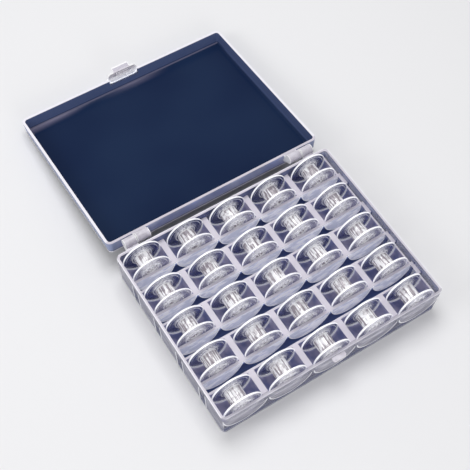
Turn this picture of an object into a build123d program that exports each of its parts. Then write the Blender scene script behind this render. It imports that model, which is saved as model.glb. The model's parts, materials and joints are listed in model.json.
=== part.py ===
from build123d import *
import math
import os

# Hinged plastic box that stores sewing-machine bobbins on edge, five rows of five.
# Millimetres. +X runs along the hinge, +Y points from the front wall to the hinge,
# +Z is up. The origin is the centre of the tray's underside. The lid is modelled
# closed and then turned about the hinge until it lies open behind the tray.

# Bobbins and how many the tray holds
bobbin_diameter = 20.3
bobbin_width = 10.6
flange_thickness = 0.9
flange_recess = 0.2
flange_edge_width = 0.9
hub_diameter = 8.6
hub_boss_diameter = 10.4
bore_diameter = 6.1
flange_edge_chamfer = 0.25
columns = 5
rows = 5

# Pockets and the deck between them
bobbin_side_gap = 0.35
bobbin_front_gap = 0.3
bobbin_back_gap = 1.96
bobbin_floor_gap = 0.15
bar_width = 3.05
front_strip = 1.3
back_strip = 1.15
row_gap = 4.7
trough_wall = 1.1
trough_lift = 2.6
pocket_centre_rise = 0.3
web_height = 2.8
left_ledge_drop = 4.75
end_plate = 0.85
channel_width = 1.0
slot_end_wall = 0.7

# Tray
wall = 1.3
floor_thickness = 1.3
rim_height = 3.75
draft_angle = 3.2
corner_radius = 3.0
end_bobbin_gap = 0.15
side_bobbin_gap = 0.3

# Lid
lid_height = 8.25
lid_panel = 1.2
lid_wall = 1.3
lid_draft_angle = 5.0
lid_overhang = 0.4
lid_seat_gap = 0.05
lid_inner_round = 1.6
lid_outer_round = 0.8
lid_rest_height = 0.05

# Hinge
hinge_setback = 3.75
hinge_drop = 0.3
knuckle_radius = 2.4
pin_radius = 1.25
pin_clearance = 0.05
pin_length = 5.0
pin_end_gap = 0.25
hinge_inset = 6.85
ear_width = 6.5
ear_gap = 0.2
lid_knuckle_width = 7.2
ear_web_drop = 0.9
ear_gusset_height = 5.2
arm_height = 4.6

# Latch and catch
latch_width = 17.6
latch_above = 3.4
latch_below = 2.9
latch_thickness = 1.35
latch_round = 2.6
catch_width = 7.0
catch_depth = 2.4
catch_height = 1.1
catch_drop = 0.7
catch_round = 1.1
catch_gap = 0.25
tab_width = 10.0
tab_reach = 1.9
tab_fall = 1.2
tab_thickness = 1.2
tab_round = 0.8

# Room past a face that a cutting solid reaches through
over = 5.0

# Derived sizes
draft = math.tan(math.radians(draft_angle))
lid_draft = math.tan(math.radians(lid_draft_angle))
bobbin_radius = bobbin_diameter / 2
pocket_radius = bobbin_radius + bobbin_side_gap
pocket_depth = bobbin_front_gap + bobbin_width + bobbin_back_gap
column_pitch = 2 * pocket_radius + bar_width
row_depth = front_strip + pocket_depth + back_strip
row_pitch = row_depth + row_gap

trough_bottom = floor_thickness + trough_lift + trough_wall
axis_height = trough_bottom + bobbin_floor_gap + bobbin_radius
trough_centre = trough_bottom + pocket_radius
deck_height = trough_centre - pocket_centre_rise
tray_height = deck_height + rim_height

# Across the tray: the left wall stands beside the first bobbin, and an open
# channel lies between the last trough and the right wall.
pattern_half = (columns - 1) / 2 * column_pitch
left_inside = -pattern_half - bobbin_radius - side_bobbin_gap - (deck_height - axis_height) * draft
right_inside = pattern_half + pocket_radius + end_plate + channel_width
pattern_x = -(left_inside + right_inside) / 2
tray_length = right_inside - left_inside + 2 * (wall + rim_height * draft)

# Front to back: the end rows lean on the front and back walls themselves. The walls
# lean outwards, so the foot of the front row's bobbins is what comes nearest.
rows_front = -(rows * row_depth + (rows - 1) * row_gap) / 2
trough_floor_room = (trough_bottom - floor_thickness) * draft
floor_half_depth = -(rows_front + front_strip + bobbin_front_gap) + end_bobbin_gap - trough_floor_room
tray_depth = 2 * (floor_half_depth + wall + (tray_height - floor_thickness) * draft)

lid_rim = tray_height + lid_seat_gap
lid_top = lid_rim + lid_height
lid_front = -tray_depth / 2 - lid_overhang
hinge_y = tray_depth / 2 + hinge_setback
hinge_z = tray_height - hinge_drop
ear_start = tray_length / 2 - hinge_inset - ear_width
lid_knuckle_end = ear_start - ear_gap


def lid_opening_angle():
    """Turn from closed to where the lid's far lower edge comes down to the table."""
    edge_y = lid_front + lid_height * lid_draft - hinge_y
    edge_z = lid_top - hinge_z
    closed = math.atan2(edge_z, edge_y)
    opened = math.asin((lid_rest_height - hinge_z) / math.hypot(edge_y, edge_z))
    return math.degrees(closed - opened)


opening_angle = lid_opening_angle()


def column_x(column):
    return pattern_x + (column - (columns - 1) / 2) * column_pitch


def row_front(row):
    """Front face of a row. Row 0 is the back row, beside the hinge."""
    return rows_front + (rows - 1 - row) * row_pitch


def row_back(row):
    return row_front(row) + row_depth


def pocket_span(row):
    """Front and back of a row's pockets. The end rows run through to the box walls."""
    front = row_front(row) + front_strip
    back = row_back(row) - back_strip
    if row == rows - 1:
        front = -tray_depth / 2
    if row == 0:
        back = tray_depth / 2
    return front, back


def block(x_span, y_span, z_span):
    """Box between two limits on each axis."""
    size = [span[1] - span[0] for span in (x_span, y_span, z_span)]
    centre = [(span[0] + span[1]) / 2 for span in (x_span, y_span, z_span)]
    return Pos(*centre) * Box(*size)


def prism_along_y(sketch, y_span):
    """Solid from a sketch drawn in X and Z, between two places along Y."""
    return extrude(Plane.XZ.offset(-y_span[1]) * sketch, y_span[1] - y_span[0])


def prism_along_x(sketch, x_span):
    """Solid from a sketch drawn in Y and Z, between two places along X."""
    return extrude(Plane.YZ.offset(x_span[0]) * sketch, x_span[1] - x_span[0])


def slab(x_span, z_span):
    """Flat rectangle between two limits on each axis of a sketch."""
    width = x_span[1] - x_span[0]
    height = z_span[1] - z_span[0]
    return Pos((x_span[0] + x_span[1]) / 2, (z_span[0] + z_span[1]) / 2) * Rectangle(width, height)


def tray_volume(inset, z_low, z_high):
    """Space inside the tray's drafted outer faces, moved in by an inset."""
    outlines = []
    for z in (z_low, z_high):
        shrink = inset + (tray_height - z) * draft
        outline = RectangleRounded(tray_length - 2 * shrink, tray_depth - 2 * shrink, corner_radius - shrink)
        outlines.append(Pos(0, 0, z) * outline)
    return loft(outlines, ruled=True)


def lid_volume(inset, z_low, z_high):
    """Space inside the closed lid's drafted outer faces, moved in by an inset."""
    depth = tray_depth / 2 - lid_front
    centre_y = (tray_depth / 2 + lid_front) / 2
    outlines = []
    for z in (z_low, z_high):
        shrink = inset + (z - lid_rim) * lid_draft
        outline = RectangleRounded(tray_length - 2 * shrink, depth - 2 * shrink, corner_radius - shrink)
        outlines.append(Pos(0, centre_y, z) * outline)
    return loft(outlines, ruled=True)


def tray_shell():
    """Floor, four drafted walls, and the blocks that close both ends of each gap between rows."""
    shell = tray_volume(0, 0, tray_height) - tray_volume(wall, floor_thickness, tray_height)
    core = tray_volume(wall, floor_thickness, deck_height)
    slot_left = -tray_length / 2 + wall + rim_height * draft + slot_end_wall
    slot_right = column_x(columns - 1) + pocket_radius
    for row in range(1, rows):
        gap = (row_back(row), row_front(row - 1))
        height = (floor_thickness, deck_height)
        shell += block((-tray_length / 2, slot_left), gap, height) & core
        shell += block((slot_right, tray_length / 2), gap, height) & core
    return shell


def pocket_outline(column):
    """Half-round pocket, its centre just above the deck. The first one opens to the left wall."""
    centre = column_x(column)
    outline = Pos(centre, trough_centre) * Circle(pocket_radius)
    left = centre - pocket_radius
    outline += slab((left, centre + pocket_radius), (trough_centre, deck_height + over))
    if column == 0:
        outline += slab((-tray_length / 2, centre), (trough_centre - left_ledge_drop, deck_height + over))
    return outline


def hollow_outline():
    """Space under a row's troughs and bars, down to the floor and open to the gaps."""
    right = column_x(columns - 1) + pocket_radius
    outline = slab((-tray_length / 2, right), (floor_thickness, deck_height - web_height))
    for column in range(columns):
        outline -= Pos(column_x(column), trough_centre) * Circle(pocket_radius + trough_wall)
    return outline


def cradle_row(row):
    """One row of troughs with flat ends, open underneath, carried by the side walls."""
    front, back = row_front(row), row_back(row)
    pocket_front, pocket_back = pocket_span(row)
    front = min(front, pocket_front)
    back = max(back, pocket_back)
    core = tray_volume(wall, floor_thickness, deck_height)
    body = block((-tray_length / 2, tray_length / 2), (front, back), (floor_thickness, deck_height)) & core
    for column in range(columns):
        body -= prism_along_y(pocket_outline(column), (pocket_front, pocket_back))
    body -= prism_along_y(hollow_outline(), (front, back))
    channel_left = column_x(columns - 1) + pocket_radius + end_plate
    body -= block((channel_left, tray_length / 2), (pocket_front, pocket_back), (floor_thickness, tray_height))
    return body


def bobbin():
    """Flanged bobbin, its axis along Y and its front face at the origin."""
    profile = Pos(hub_diameter / 4, bobbin_width / 2) * Rectangle(hub_diameter / 2, bobbin_width)
    for y in (flange_thickness / 2, bobbin_width - flange_thickness / 2):
        profile += Pos(bobbin_radius / 2, y) * Rectangle(bobbin_radius, flange_thickness)
    profile -= Pos(bore_diameter / 4, bobbin_width / 2) * Rectangle(bore_diameter / 2, bobbin_width)
    recess_span = (hub_boss_diameter / 2, bobbin_radius - flange_edge_width)
    profile -= slab(recess_span, (0, flange_recess))
    profile -= slab(recess_span, (bobbin_width - flange_recess, bobbin_width))
    rim_corners = profile.vertices().group_by(Axis.X)[-1]
    profile = chamfer(rim_corners, flange_edge_chamfer)
    return revolve(profile, Axis.Y)


def seated_bobbin(row, column):
    """A bobbin standing on edge in its pocket."""
    front = row_front(row) + front_strip + bobbin_front_gap
    return Pos(column_x(column), front, axis_height) * bobbin()


def lid_shell():
    """Shallow lid, closed, with its rim just above the tray's rim."""
    outside = lid_volume(0, lid_rim, lid_top)
    outside = fillet(outside.faces().sort_by(Axis.Z)[-1].edges(), lid_outer_round)
    inside = lid_volume(lid_wall, lid_rim, lid_top - lid_panel)
    inside = fillet(inside.faces().sort_by(Axis.Z)[-1].edges(), lid_inner_round)
    return outside - inside


def lid_knuckle():
    """Right-hand hinge arm of the lid with its barrel, and a round pin pointing outwards."""
    wall_y = tray_depth / 2 - lid_height * lid_draft
    arm = make_face(Polyline(
        (wall_y, lid_rim),
        (hinge_y, lid_rim),
        (hinge_y, hinge_z + knuckle_radius),
        (tray_depth / 2, lid_rim + arm_height),
        (wall_y, lid_rim + arm_height),
        close=True,
    ))
    outline = arm + Pos(hinge_y, hinge_z) * Circle(knuckle_radius)
    knuckle = prism_along_x(outline, (lid_knuckle_end - lid_knuckle_width, lid_knuckle_end))
    knuckle -= lid_volume(0, lid_rim, lid_top)
    pin = Pos(hinge_y, hinge_z) * Circle(pin_radius)
    return knuckle + prism_along_x(pin, (lid_knuckle_end, ear_start + pin_length))


def hinge_ear():
    """Right-hand ear on the tray's back wall, bored from its inner side for the lid's pin."""
    wall_y = tray_depth / 2 - tray_height * draft
    web_top = tray_height - ear_web_drop
    web = make_face(Polyline(
        (wall_y, web_top),
        (hinge_y, web_top),
        (hinge_y, hinge_z - knuckle_radius),
        (wall_y, web_top - ear_gusset_height),
        close=True,
    ))
    outline = web + Pos(hinge_y, hinge_z) * Circle(knuckle_radius)
    ear = prism_along_x(outline, (ear_start, ear_start + ear_width))
    ear -= tray_volume(0, 0, tray_height)
    bore = Pos(hinge_y, hinge_z) * Circle(pin_radius + pin_clearance)
    return ear - prism_along_x(bore, (ear_start, ear_start + pin_length + pin_end_gap))


def latch():
    """Plate on the lid's front wall with a slot for the catch and a thumb tab below."""
    middle = lid_rim + (latch_above - latch_below) / 2
    outline = Pos(0, middle) * RectangleRounded(latch_width, latch_above + latch_below, latch_round)
    outer = lid_front - latch_thickness
    plate = prism_along_y(outline, (outer, lid_front))
    upper = outline & slab((-latch_width, latch_width), (lid_rim, lid_top))
    plate += prism_along_y(upper, (lid_front, lid_front + lid_height * lid_draft))
    plate -= lid_volume(0, lid_rim, lid_top)
    slot_top = tray_height - catch_drop + catch_gap
    slot_bottom = slot_top - catch_height - 2 * catch_gap
    slot_half = catch_width / 2 + catch_gap
    plate -= block((-slot_half, slot_half), (outer - over, lid_front + over), (slot_bottom, slot_top))
    return plate + thumb_tab(outer, slot_bottom, lid_rim - latch_below)


def thumb_tab(plate_outer, tab_top, plate_bottom):
    """Lip that slants out and down from the foot of the latch plate."""
    profile = make_face(Polyline(
        (plate_outer + latch_thickness / 2, plate_bottom),
        (plate_outer, tab_top),
        (plate_outer - tab_reach, plate_bottom - tab_fall + tab_thickness),
        (plate_outer - tab_reach, plate_bottom - tab_fall),
        close=True,
    ))
    tab = prism_along_x(profile, (-tab_width / 2, tab_width / 2))
    tip_corners = tab.edges().filter_by(Axis.Z).group_by(Axis.Y)[0]
    return fillet(tip_corners, tab_round)


def latch_catch():
    """Lug on the tray's front wall that the latch slot snaps over."""
    wall_y = -tray_depth / 2
    tip = wall_y - catch_depth
    root = wall_y + tray_height * draft
    top = tray_height - catch_drop
    lug = block((-catch_width / 2, catch_width / 2), (tip, root), (top - catch_height, top))
    tip_corners = lug.edges().filter_by(Axis.Z).group_by(Axis.Y)[0]
    return fillet(tip_corners, catch_round) - tray_volume(0, 0, tray_height)


def opened(piece):
    """Turn a piece of the closed lid about the hinge to where the lid lies open."""
    return Pos(0, hinge_y, hinge_z) * Rot(-opening_angle, 0, 0) * Pos(0, -hinge_y, -hinge_z) * piece


def save(piece, node):
    export_step(piece, f"parts/{node}.step")


def main():
    os.makedirs("parts", exist_ok=True)
    save(tray_shell(), "tray_shell")
    save(latch_catch(), "latch_catch")
    right_ear = hinge_ear()
    save(right_ear, "hinge_ear_right")
    save(mirror(right_ear, Plane.YZ), "hinge_ear_left")
    for row in range(rows):
        save(cradle_row(row), f"cradle_row_{row + 1}")
    for row in range(rows):
        for column in range(columns):
            save(seated_bobbin(row, column), f"bobbin_r{row + 1}_c{column + 1}")
    save(opened(lid_shell()), "lid_shell")
    save(opened(latch()), "lid_latch")
    right_knuckle = lid_knuckle()
    save(opened(right_knuckle), "lid_knuckle_right")
    save(opened(mirror(right_knuckle, Plane.YZ)), "lid_knuckle_left")
    print("tray", tray_length, tray_depth, tray_height, "deck", deck_height)
    print("bobbin axis height", axis_height, "first column", column_x(0), "pitch", column_pitch, row_pitch)
    print("hinge axis", hinge_y, hinge_z, "opening angle", opening_angle)


main()
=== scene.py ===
import json
import math

import bmesh
import bpy
from mathutils import Matrix, Vector


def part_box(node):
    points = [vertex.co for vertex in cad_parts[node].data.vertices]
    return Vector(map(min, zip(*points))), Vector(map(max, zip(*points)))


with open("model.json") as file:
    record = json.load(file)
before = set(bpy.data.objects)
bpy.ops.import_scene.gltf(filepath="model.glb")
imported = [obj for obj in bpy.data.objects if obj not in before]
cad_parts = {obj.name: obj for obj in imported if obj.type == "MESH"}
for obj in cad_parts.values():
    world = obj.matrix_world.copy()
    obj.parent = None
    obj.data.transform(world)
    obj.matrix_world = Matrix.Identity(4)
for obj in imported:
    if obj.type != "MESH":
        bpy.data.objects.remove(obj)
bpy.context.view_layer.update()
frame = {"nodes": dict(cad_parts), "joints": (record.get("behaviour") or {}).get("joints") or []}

MM = 0.001


# Places taken from the frame, in millimetres

def low(node):
    """Lowest corner of the box round a node."""
    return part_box(node)[0] / MM


def high(node):
    """Highest corner of the box round a node."""
    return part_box(node)[1] / MM


def centre(node):
    return (low(node) + high(node)) / 2


FIRST = centre("bobbin_r1_c1")
COLUMN_PITCH = centre("bobbin_r1_c2").x - FIRST.x
ROW_PITCH = FIRST.y - centre("bobbin_r2_c1").y
BOBBIN_RADIUS = (high("bobbin_r1_c1").z - low("bobbin_r1_c1").z) / 2
BOBBIN_WIDTH = high("bobbin_r1_c1").y - low("bobbin_r1_c1").y
DECK = high("cradle_row_3").z
TRAY_HIGH = high("tray_shell")
RIM = TRAY_HIGH.z
ROW_MIDDLE = centre("cradle_row_3").y
ROW_HALF_DEPTH = high("cradle_row_3").y - ROW_MIDDLE
FRONT_PLATE = low("cradle_row_5").y
EAR_INNER_END = low("hinge_ear_right").x
EAR_OUTER_END = high("hinge_ear_right").x
KNUCKLE_INNER_END = low("lid_knuckle_right").x
LID_MIDDLE = centre("lid_shell").y
LATCH_HALF_WIDTH = high("lid_latch").x

HINGE = next(joint for joint in frame["joints"] if joint["name"] == "lid_hinge")
PIVOT = Vector(HINGE["pos_m"]) / MM
OPENING = math.radians(-HINGE["range_deg"][0])


# Other sizes and places of the same pieces, in millimetres

FLANGE_THICKNESS = 0.9
FLANGE_INSIDE = BOBBIN_WIDTH / 2 - FLANGE_THICKNESS
HUB_RADIUS = 4.3
HUB_BOSS_RADIUS = 5.2
TROUGH_RADIUS = 11.6
TROUGH_EDGE = TROUGH_RADIUS - 0.2
TROUGH_ABOVE_BOBBIN = 0.2
TROUGH_CENTRE = FIRST.z + TROUGH_ABOVE_BOBBIN
FLOOR_LINE = 1.6
KNUCKLE_GAP = 0.2
KNUCKLE_OUTER_END = EAR_INNER_END - KNUCKLE_GAP

# Places of the marks on the lid and latch: along from the hinge's axis, up from that
# axis as when the lid is closed, or out from the middle
LID_RIM = 0.35
LID_FOLD_HEIGHT = 6.5
LID_NEAR_EDGE = 5.5
LID_FAR_FOLD = 98.4
LID_SIDE = 58.0
LATCH_START = 90.0
LATCH_FOOT = -2.9
LATCH_HEAD = 3.4
LATCH_ROUND = 2.6
LATCH_GROOVE = -0.6
TAB_HALF_WIDTH = 5.0
TAB_TIP = 103.6

# How light passes through the plastics, and how much clearer the front edges are
BOX_IOR = 1.49
BOBBIN_IOR = 1.5
FRONT_CLEARNESS = 0.4


# Colours, as linear values

def tone(red, green, blue):
    """Linear colour from everyday 0 to 255 values, by the usual screen curve."""
    shares = [value / 255 for value in (red, green, blue)]
    linear = [((share + 0.055) / 1.055) ** 2.4 if share > 0.04 else share / 12.92 for share in shares]
    return (*linear, 1.0)


RIM_LIGHT = tone(238, 236, 244)
LAVENDER = tone(205, 200, 211)
FITTING_LIGHT = tone(228, 224, 234)
PALE_BLUE = tone(240, 239, 246)
PLATE_BLUE = tone(202, 204, 218)
OUTER_WALL_BLUE = tone(174, 183, 230)
OUTER_WALL_PALE = tone(194, 200, 234)
LID_WALL_DARK = tone(74, 90, 132)
LID_WALL_LIGHT = tone(90, 104, 146)
BLUE_GREY = tone(150, 160, 194)
WALL_GREY = tone(186, 184, 198)
WALL_SHADE = tone(120, 120, 146)
TROUGH_GREY = tone(180, 176, 204)
TROUGH_NAVY = tone(124, 130, 176)
CHANNEL_NAVY = tone(80, 86, 138)
CHANNEL_BLUE = tone(116, 124, 168)
NAVY = tone(28, 44, 74)
DEEP_NAVY = tone(22, 37, 68)
LID_HAZE = tone(122, 118, 142)
CLEAR_WHITE = tone(253, 253, 255)
CLEAR_GREY = tone(190, 188, 206)
CLEAR_NAVY = tone(36, 52, 120)
HUB_BROWN = tone(168, 158, 166)
TAB_GREY = tone(192, 188, 202)
BLACK = tone(0, 0, 0)
TRAY_FLOOR = tone(100, 118, 172)
PALE_FLOOR = tone(232, 232, 234)


# Shader arithmetic

class Value:
    """A number socket in a material that can be used in arithmetic."""

    def __init__(self, finish, socket):
        self.finish = finish
        self.socket = socket

    def math(self, operation, *others):
        values = dict(enumerate((self, *others)))
        return self.finish.add("ShaderNodeMath", {"operation": operation}, values)

    def __add__(self, other):
        return self.math("ADD", other)

    __radd__ = __add__

    def __sub__(self, other):
        return self.math("SUBTRACT", other)

    def __rsub__(self, other):
        return self.math("MULTIPLY", -1.0).math("ADD", other)

    def __mul__(self, other):
        return self.math("MULTIPLY", other)

    __rmul__ = __mul__

    def __abs__(self):
        return self.math("ABSOLUTE")

    def most(self, other):
        return self.math("MAXIMUM", other)

    def least(self, other):
        return self.math("MINIMUM", other)

    def wrap(self, period):
        """Signed distance from the nearest whole number of periods."""
        return (self + period / 2).math("FLOORED_MODULO", period) - period / 2

    def rise(self, start, end):
        """Smooth step from 0 at start to 1 at end, where either may be the lower."""
        settings = {"interpolation_type": "SMOOTHSTEP"}
        values = {"Value": self, "From Min": start, "From Max": end, "To Min": 0.0, "To Max": 1.0}
        return self.finish.add("ShaderNodeMapRange", settings, values)

    def near(self, place, half_width, blur):
        """1 within half_width of a place, falling to 0 over blur."""
        return abs(self - place).rise(half_width + blur, half_width)


def length(across, up):
    """Distance of a place from a line, from how far across and up it is."""
    return (across * across + up * up).math("SQRT")


class Finish:
    """One material, built from a Principled shader, that reads places in millimetres."""

    # Sockets of a Mix node for colours: three inputs and an output
    MIX_FACTOR, MIX_FIRST, MIX_SECOND, MIX_COLOUR = 0, 6, 7, 2

    def __init__(self, name, roughness, ior=1.5, specular=0.5):
        self.material = bpy.data.materials.new(name)
        self.material.use_nodes = True
        self.tree = self.material.node_tree
        self.shader = self.tree.nodes["Principled BSDF"]
        self.set("Roughness", roughness)
        self.set("IOR", ior)
        self.set("Specular IOR Level", specular)
        coordinates = self.node("ShaderNodeTexCoord", {}, {}).outputs
        values = {0: coordinates["Object"], "Scale": 1 / MM}
        scaled = self.node("ShaderNodeVectorMath", {"operation": "SCALE"}, values)
        self.place = scaled.outputs["Vector"]
        self.x, self.y, self.z = self.parts(self.place)
        self.nx, self.ny, self.nz = self.parts(coordinates["Normal"])

    def node(self, kind, settings, values):
        made = self.tree.nodes.new(kind)
        for name, setting in settings.items():
            setattr(made, name, setting)
        for name, value in values.items():
            self.feed(made.inputs[name], value)
        return made

    def add(self, kind, settings, values, output=0):
        return Value(self, self.node(kind, settings, values).outputs[output])

    def feed(self, socket, value):
        if isinstance(value, Value):
            value = value.socket
        if isinstance(value, bpy.types.NodeSocket):
            self.tree.links.new(value, socket)
        else:
            socket.default_value = value

    def set(self, name, value):
        self.feed(self.shader.inputs[name], value)

    def parts(self, vector):
        made = self.node("ShaderNodeSeparateXYZ", {}, {0: vector})
        return [Value(self, socket) for socket in made.outputs]

    def mix(self, mask, first, second):
        """The first colour where the mask is 0, and the second where it is 1."""
        values = {self.MIX_FACTOR: mask, self.MIX_FIRST: first, self.MIX_SECOND: second}
        made = self.node("ShaderNodeMix", {"data_type": "RGBA"}, values)
        return made.outputs[self.MIX_COLOUR]

    def noise(self, scale, detail=2.0, stretch=(1.0, 1.0, 1.0)):
        """Soft noise about 0.5, with features of 1 / scale millimetres, longer where stretch is small."""
        place = self.node("ShaderNodeVectorMath", {"operation": "MULTIPLY"}, {0: self.place, 1: stretch})
        values = {"Vector": place.outputs["Vector"], "Scale": scale, "Detail": detail}
        return self.add("ShaderNodeTexNoise", {}, values)

    def facing(self, blend=0.5):
        """0 where the surface faces the eye, 1 at its edges."""
        return self.add("ShaderNodeLayerWeight", {}, {"Blend": blend}, "Facing")

    def glow(self, mask, colour, strength):
        """Weak glow where the mask is 1, for light that passes through thin plastic."""
        self.set("Emission Color", self.mix(mask, BLACK, colour))
        self.set("Emission Strength", strength)

    def bump(self, height, distance):
        values = {"Height": height, "Distance": distance * MM, "Strength": 1.0}
        self.set("Normal", self.node("ShaderNodeBump", {}, values).outputs["Normal"])


# Places that the finishes follow

def trough_distance(finish):
    """Distance from the centre line of the nearest column of troughs."""
    return length((finish.x - FIRST.x).wrap(COLUMN_PITCH), finish.z - TROUGH_CENTRE)


def row_distance(finish):
    """Distance in front of or behind the middle of the nearest row."""
    return abs((finish.y - ROW_MIDDLE).wrap(ROW_PITCH))


def lid_place(finish):
    """Distance along the lid from the hinge's axis, and height above it as when the lid is closed."""
    back = math.cos(OPENING)
    up = math.sin(OPENING)
    along = (finish.y - PIVOT.y) * back * -1.0 + (finish.z - PIVOT.z) * up
    height = (finish.y - PIVOT.y) * up + (finish.z - PIVOT.z) * back
    return along, height


# Finishes

def rows_in_walls(finish):
    """The rows' ends as the tray's walls show them: painted shade where the spaces round them lie behind
    the wall, and painted highlights along their edges.
    """
    front_back = abs(finish.ny).rise(0.6, 0.8)
    sides = 1 - front_back
    from_trough = trough_distance(finish)
    from_row = row_distance(finish)
    below_deck = finish.z.rise(DECK, DECK - 1.5)
    # Painted shade: darker where the spaces under the trough arcs and between the rows lie behind the
    # wall.
    below_arcs = front_back * from_trough.rise(TROUGH_RADIUS, TROUGH_RADIUS + 0.3)
    between_rows = from_row.rise(ROW_HALF_DEPTH, ROW_HALF_DEPTH + 0.3) * sides
    # Painted highlights: light bands where the trough edges and the row edges lie behind the wall.
    arc_highlight = front_back * from_trough.near(TROUGH_EDGE, 0.25, 0.2)
    row_edge_highlight = from_row.near(ROW_HALF_DEPTH - 0.4, 0.3, 0.3) * sides
    return below_arcs.most(between_rows) * below_deck, arc_highlight.most(row_edge_highlight) * below_deck


def tray_finish():
    """Clear milky box with a light rim that has a painted highlight along its outer edge, and a painted
    highlight along the bottom edge: the rows' ends show in its walls as painted shade and painted
    highlights, blue inside.
    """
    finish = Finish("milky_tray_plastic", 0.3, BOX_IOR, specular=0.3)
    x, y, z = finish.x, finish.y, finish.z
    cloud = finish.noise(0.09)
    streaks = finish.noise(0.35, 3.0, (0.3, 0.3, 1.6)).rise(0.4, 0.62)
    rim = z.rise(RIM - 0.35, RIM - 0.05)
    side_edge_highlight = abs(x).rise(TRAY_HIGH.x - 0.6, TRAY_HIGH.x - 0.3)
    end_edge_highlight = abs(y).rise(TRAY_HIGH.y - 0.6, TRAY_HIGH.y - 0.3)
    # Painted highlights: a light band along the bottom edge, and one at the inner floor's height.
    foot_highlight = z.rise(0.55, 0.35).most(z.near(FLOOR_LINE, 0.12, 0.2))
    level = finish.nz.rise(0.4, 0.9)
    floor_top = level * z.rise(DECK - 4, DECK - 6)
    ledge = level * z.rise(DECK - 2, DECK - 1)
    inward = (x * finish.nx + y * finish.ny).rise(2.0, -8.0)
    hollow_shade, highlight_lines = rows_in_walls(finish)
    outside = finish.mix(streaks * 0.6, WALL_GREY, RIM_LIGHT)
    # Painted shade where the spaces round the rows lie behind the wall.
    outside = finish.mix(hollow_shade * 0.75, outside, WALL_SHADE)
    # Painted highlights where the trough and row edges lie behind the wall, and along the bottom edge.
    outside = finish.mix(highlight_lines.most(foot_highlight) * 0.8, outside, CLEAR_WHITE)
    inside = finish.mix(cloud.rise(0.35, 0.65), CHANNEL_NAVY, CHANNEL_BLUE)
    colour = finish.mix(inward, outside, inside)
    colour = finish.mix(ledge.most(rim), colour, LAVENDER)
    # Painted highlight: a light band along the rim's outer top edge.
    colour = finish.mix(rim * side_edge_highlight.most(end_edge_highlight), colour, RIM_LIGHT)
    finish.set("Base Color", finish.mix(floor_top, colour, TRAY_FLOOR))
    solid = rim.most(ledge).most(foot_highlight).most(highlight_lines)
    milky = solid * 0.45 + inward * 0.1 + streaks * 0.08 + 0.46 - hollow_shade * 0.1
    front_rim = y.rise(2.0 - TRAY_HIGH.y, 1.5 - TRAY_HIGH.y) * z.rise(DECK - 1, DECK)
    finish.set("Alpha", (milky.most(floor_top) * (1 - front_rim * FRONT_CLEARNESS)).least(1.0))
    finish.bump(finish.noise(0.25), 0.02)
    return finish.material


def cradle_finish():
    """Rows of pockets: milky deck, blue-grey troughs, pale plates with a painted glow, and painted
    highlights along the troughs' edges and the top edges.
    """
    finish = Finish("milky_cradle_plastic", 0.32, BOX_IOR, specular=0.3)
    finish.set("Subsurface Weight", 0.6)
    finish.set("Subsurface Radius", (1.0, 1.0, 1.0))
    finish.set("Subsurface Scale", 3.0 * MM)
    z = finish.z
    from_trough = trough_distance(finish)
    deck = finish.nz.rise(0.7, 0.95) * z.rise(DECK - 0.6, DECK - 0.2)
    outer = row_distance(finish).rise(ROW_HALF_DEPTH - 0.5, ROW_HALF_DEPTH - 0.2)
    plate = abs(finish.ny).rise(0.5, 0.9) * outer
    trough_edge_highlight = plate * from_trough.near(TROUGH_EDGE, 0.22, 0.15)
    cusp = plate * from_trough.rise(TROUGH_RADIUS, TROUGH_RADIUS + 0.2) * z.rise(DECK - 1, DECK - 2)
    top_edge_highlight = z.rise(DECK - 0.35, DECK - 0.05)
    cloud = finish.noise(0.14)
    mottle = finish.noise(0.35, 3.0, (0.5, 1.0, 1.0)).rise(0.42, 0.62)
    trough = finish.mix(cloud.rise(0.35, 0.7), TROUGH_GREY, TROUGH_NAVY)
    # The plates' pale colours are partly painted light, lightened against the shade between the rows.
    colour = finish.mix(plate, trough, finish.mix(mottle, PLATE_BLUE, PALE_BLUE))
    colour = finish.mix(cusp, colour, TRAY_FLOOR)
    # Painted highlights along the troughs' edges on the plates.
    colour = finish.mix(trough_edge_highlight, colour, CLEAR_WHITE)
    # The deck's own colour, with a painted highlight in that colour along the top edges just below it.
    colour = finish.mix(top_edge_highlight.most(deck), colour, LAVENDER)
    finish.set("Base Color", colour)
    # Painted glow on the plates, weaker elsewhere, standing in for light that passes through the thin
    # plastic.
    finish.glow(plate * 0.8 + 0.2, colour, 0.23)
    milky = (plate * 0.15 + 0.8).most(deck).most(trough_edge_highlight)
    front_plate = finish.y.rise(FRONT_PLATE + 1.6, FRONT_PLATE + 1.2)
    finish.set("Alpha", (milky * (1 - front_plate * FRONT_CLEARNESS)).least(1.0))
    finish.bump(finish.noise(0.3), 0.02)
    return finish.material


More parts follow.
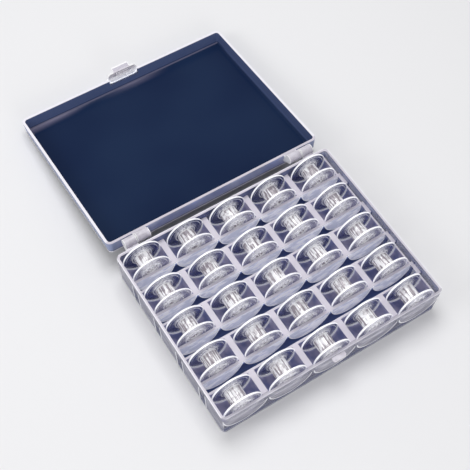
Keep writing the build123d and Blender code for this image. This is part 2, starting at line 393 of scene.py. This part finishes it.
def lid_finish():
    """Dark clear panel with a hazy far edge, painted shade and a painted highlight along the far crease,
    blue walls with painted highlights along the rim and the outer lower edge, clear behind the latch.
    """
    finish = Finish("clear_lid_plastic", 0.2, BOX_IOR, specular=0.08)
    x, y = finish.x, finish.y
    along, height = lid_place(finish)
    rim = height.rise(LID_RIM + 0.4, LID_RIM)
    panel = height.rise(LID_FOLD_HEIGHT - 0.3, LID_FOLD_HEIGHT + 0.7)
    outer_edge_highlight = height.rise(LID_FOLD_HEIGHT + 0.4, LID_FOLD_HEIGHT + 0.8)
    by_hinge = along.rise(LID_NEAR_EDGE + 1, LID_NEAR_EDGE)
    far_left = along.rise(LID_FAR_FOLD - 4.9, LID_FAR_FOLD + 0.1) * x.rise(30.0, -5.0)
    far = along.rise(LID_FAR_FOLD - 8.4, LID_FAR_FOLD - 6.4)
    fold_shade = far * height.near(LID_FOLD_HEIGHT, 0.1, 0.3)
    above_fold = height.rise(LID_FOLD_HEIGHT - 0.1, LID_FOLD_HEIGHT + 0.3)
    fold_highlight = above_fold * along.near(LID_FAR_FOLD, 0.1, 0.4)
    outward = (x * finish.nx + (y - LID_MIDDLE) * finish.ny).rise(10.0, 20.0)
    cloud = finish.noise(0.02, 1.0)
    streak = finish.noise(0.06, 2.0, (0.25, 1.0, 1.0))
    inside = finish.mix(cloud, LID_WALL_DARK, LID_WALL_LIGHT)
    outside = finish.mix(finish.noise(0.12).rise(0.35, 0.65), OUTER_WALL_BLUE, OUTER_WALL_PALE)
    outside = finish.mix(abs(x).rise(LID_SIDE - 6, LID_SIDE), outside, BLUE_GREY)
    wall = finish.mix(outward, inside, outside)
    # A streaky haze band on the panel near the far crease, stronger on the left, together with a painted
    # highlight along the crease itself.
    haze = (far_left * panel * streak.rise(0.25, 0.6)).most(fold_highlight * 0.6)
    colour = finish.mix(panel, wall, finish.mix(cloud.rise(0.3, 0.7), NAVY, DEEP_NAVY))
    colour = finish.mix(haze * 0.9, colour, LID_HAZE)
    # Painted shade: darker along the crease between the far wall and the panel.
    colour = finish.mix(fold_shade * 0.6, colour, DEEP_NAVY)
    # Painted highlight: a light band along the rim, softer by the hinge.
    colour = finish.mix(rim, colour, finish.mix(by_hinge, RIM_LIGHT, LAVENDER))
    # Painted highlight along the walls' outer edge next to the panel.
    finish.set("Base Color", finish.mix(outer_edge_highlight * outward, colour, RIM_LIGHT))
    behind_latch = abs(x).rise(LATCH_HALF_WIDTH, LATCH_HALF_WIDTH - 0.3)
    behind_latch = behind_latch * height.rise(LATCH_HEAD + 0.2, LATCH_HEAD - 0.1)
    window = behind_latch * along.rise(LID_FAR_FOLD - 4.4, LID_FAR_FOLD - 3.9)
    finish.set("Alpha", (panel * 0.05 + 0.93).most(rim) - window * 0.8)
    return finish.material


def fitting_edge_highlights(finish):
    """Painted highlights on the end faces of the ears and knuckles, and on surfaces seen edge on."""
    end_highlights = finish.facing(0.3).rise(0.3, 0.8)
    for place in (EAR_INNER_END, EAR_OUTER_END, KNUCKLE_OUTER_END, KNUCKLE_INNER_END):
        end_highlights = end_highlights.most(abs(finish.x).near(place, 0.25, 0.25))
    return end_highlights


def latch_outline(finish, height):
    """Band along the edge of the latch's rounded plate."""
    side = (abs(finish.x) - (LATCH_HALF_WIDTH - LATCH_ROUND)).most(0.0)
    middle = (LATCH_HEAD + LATCH_FOOT) / 2
    end = (abs(height - middle) - (LATCH_HEAD - middle - LATCH_ROUND)).most(0.0)
    return length(side, end).rise(LATCH_ROUND - 0.6, LATCH_ROUND - 0.4)


def fitting_finish():
    """Solid milky plastic of the ears, knuckles, catch and latch, with painted highlights on their edges,
    a painted shadow across the latch plate at its slot, a painted glow along the latch plate's edge band,
    and the latch's grey tab.
    """
    finish = Finish("milky_fitting_plastic", 0.26, BOX_IOR)
    across = abs(finish.x)
    along, height = lid_place(finish)
    latch = along.rise(LATCH_START - 10, LATCH_START)
    beside_tab = across.rise(TAB_HALF_WIDTH - 0.1, TAB_HALF_WIDTH + 0.1)
    outline_highlight = latch * latch_outline(finish, height) * beside_tab.most(height.rise(0.0, 0.5))
    groove_width = across.rise(TAB_HALF_WIDTH + 1, TAB_HALF_WIDTH)
    groove_shadow = latch * height.near(LATCH_GROOVE, 0.15, 0.2) * groove_width
    tab = latch * (1 - beside_tab) * height.rise(LATCH_FOOT + 0.4, LATCH_FOOT + 0.1)
    tab_tip = along.rise(TAB_TIP - 0.35, TAB_TIP - 0.2)
    tab_edge_highlight = tab * across.near(TAB_HALF_WIDTH, 0.3, 0.2).most(tab_tip)
    colour = finish.mix(finish.noise(0.35).rise(0.3, 0.7), FITTING_LIGHT, LAVENDER)
    colour = finish.mix(tab, colour, TAB_GREY)
    colour = finish.mix(latch * height.rise(-0.3, 0.3), colour, CLEAR_WHITE)
    # Painted shadow: a dark band across the latch plate at the slot.
    colour = finish.mix(groove_shadow, colour, WALL_SHADE)
    # Painted highlights: the latch plate's edge band, the tab's edges, and the ears' and knuckles' end
    # faces.
    colour = finish.mix(outline_highlight.most(tab_edge_highlight).most(fitting_edge_highlights(finish)), colour, CLEAR_WHITE)
    finish.set("Base Color", colour)
    finish.set("Alpha", finish.facing() * 0.2 + 0.8)
    # Painted glow on the upper part of the latch plate's edge band.
    finish.glow(outline_highlight * height.rise(0.2, 0.8), CLEAR_WHITE, 0.5)
    return finish.material


def bobbin_finish():
    """Clear polished plastic: painted highlights on the rims, hub and upper flanges, painted reflections
    streaking the hub, a painted glow on the rims, flanges that hardly show.
    """
    finish = Finish("clear_bobbin_plastic", 0.07, BOBBIN_IOR, specular=0.7)
    finish.set("Transmission Weight", 0.3)
    across = (finish.x - FIRST.x).wrap(COLUMN_PITCH)
    along = (finish.y - FIRST.y).wrap(ROW_PITCH)
    up = finish.z - FIRST.z
    distance = length(across, up)
    # Painted highlights and reflections: light rims, rings round the boss, arcs near the rims on the
    # upper side, streaks on the hub, flares where the hub meets the flanges, and a flecked light film
    # over the upper flanges.
    rim = distance.rise(BOBBIN_RADIUS - 0.38, BOBBIN_RADIUS - 0.22)
    between = abs(along).rise(FLANGE_INSIDE, FLANGE_INSIDE - 0.2)
    barrel = distance.rise(HUB_BOSS_RADIUS, HUB_RADIUS + 0.4) * between
    flange = 1 - barrel
    front = along.rise(0.4 - FLANGE_INSIDE, -FLANGE_INSIDE)
    raised = up.rise(-1.0, 4.0)
    boss = distance.near(HUB_BOSS_RADIUS, 0.12, 0.2) * flange
    inner_arc = distance.near(BOBBIN_RADIUS - 1.5, 0.08, 0.18) * raised
    streaks = finish.noise(1.0, 2.0, (1.0, 0.1, 1.0)).rise(0.4, 0.54)
    flecks = finish.noise(0.8, 3.0).rise(0.42, 0.56)
    spots = finish.noise(0.45, 3.0).rise(0.48, 0.6)
    flare = abs(along).rise(FLANGE_INSIDE - 1.2, FLANGE_INSIDE - 0.4)
    crown = abs(across).rise(6.5, 1.0) * raised * flange
    centre_patch = distance.rise(HUB_RADIUS + 3.4, HUB_RADIUS + 0.5) * flange
    veil_highlight = (crown * 0.6).most(centre_patch * raised) * (flecks * 0.7 + 0.3)
    hub_highlight = barrel * (streaks - spots * 0.55).most(flare * 0.8)
    painted_highlight = rim.most(hub_highlight).most(boss * 0.7).most(veil_highlight).most(inner_arc * 0.7)
    clear = finish.mix(front, CLEAR_NAVY, CLEAR_GREY)
    clear = finish.mix(barrel, clear, HUB_BROWN)
    finish.set("Base Color", finish.mix(painted_highlight, clear, CLEAR_WHITE))
    # Painted glow on the rims, weaker on the other painted highlights.
    finish.glow(rim.most(painted_highlight * 0.5), CLEAR_WHITE, 0.32)
    haze = front * (flecks * 0.15 - 0.12)
    finish.set("Alpha", (painted_highlight * 0.6 + barrel * 0.3 + haze + 0.45).least(1.0))
    finish.bump(finish.noise(0.5), 0.05)
    return finish.material


def floor_finish():
    """Plain pale floor."""
    finish = Finish("pale_floor", 0.7)
    finish.set("Base Color", PALE_FLOOR)
    return finish.material


def dress(prefixes, material):
    """Give one material to every CAD piece whose name starts with one of the prefixes."""
    for name in sorted(frame["nodes"]):
        if name.startswith(prefixes):
            piece = frame["nodes"][name]
            piece.data.materials.clear()
            piece.data.materials.append(material)


def dress_all():
    dress("tray_shell", tray_finish())
    dress("cradle", cradle_finish())
    dress("lid_shell", lid_finish())
    dress(("hinge_ear", "lid_knuckle", "lid_latch", "latch_catch"), fitting_finish())
    dress("bobbin", bobbin_finish())


# Stage, lights and camera, in metres

def floor():
    """Wide pale floor, a hair below the box so that their faces do not coincide."""
    half_width = 3.0
    drop = 0.0002
    mesh = bmesh.new()
    bmesh.ops.create_grid(mesh, x_segments=1, y_segments=1, size=half_width)
    bmesh.ops.translate(mesh, verts=mesh.verts, vec=(0, 0, -drop))
    data = bpy.data.meshes.new("floor")
    mesh.to_mesh(data)
    mesh.free()
    ground = bpy.data.objects.new("floor", data)
    ground.data.materials.append(floor_finish())
    bpy.context.scene.collection.objects.link(ground)


def softbox(name, place, target, size, power):
    """Square area light turned to its target."""
    data = bpy.data.lights.new(name, "AREA")
    data.shape = "SQUARE"
    data.size = size
    data.energy = power
    lamp = bpy.data.objects.new(name, data)
    lamp.location = place
    lamp.rotation_mode = "QUATERNION"
    lamp.rotation_quaternion = (Vector(target) - Vector(place)).to_track_quat("-Z", "Y")
    bpy.context.scene.collection.objects.link(lamp)


def lights():
    """Soft lights above, on the left and in front, in an even pale surround."""
    target = (0.0, 0.04, 0.0)
    softbox("overhead_softbox", (0.05, 0.25, 0.75), target, size=0.4, power=2.7)
    softbox("left_softbox", (-0.7, 0.1, 0.5), target, size=0.3, power=1.3)
    softbox("front_softbox", (-0.1, -0.75, 0.3), target, size=0.4, power=1.8)
    world = bpy.data.worlds.new("studio")
    world.use_nodes = True
    background = world.node_tree.nodes["Background"]
    background.inputs["Color"].default_value = (1.0, 1.0, 1.0, 1.0)
    background.inputs["Strength"].default_value = 0.5
    bpy.context.scene.world = world


def camera():
    """Camera beyond the left front corner, high up, looking down at the open box."""
    place = Vector((-0.14730, -0.17763, 0.43656))
    right = Vector((0.844785, -0.534677, 0.021422))
    up = Vector((0.449738, 0.731135, 0.513008))
    data = bpy.data.cameras.new("camera")
    data.sensor_width = 36.0
    data.lens = 77.58
    data.clip_start = 0.01
    data.clip_end = 10.0
    eye = bpy.data.objects.new("camera", data)
    turn = Matrix((right, up, right.cross(up))).transposed()
    eye.matrix_world = Matrix.Translation(place) @ turn.to_4x4()
    bpy.context.scene.collection.objects.link(eye)
    bpy.context.scene.camera = eye


dress_all()
floor()
lights()
camera()

scene = bpy.context.scene
scene.view_settings.view_transform = "Standard"
# Seen low, the rows of bobbins put many clear layers behind each other
scene.cycles.transparent_max_bounces = 32
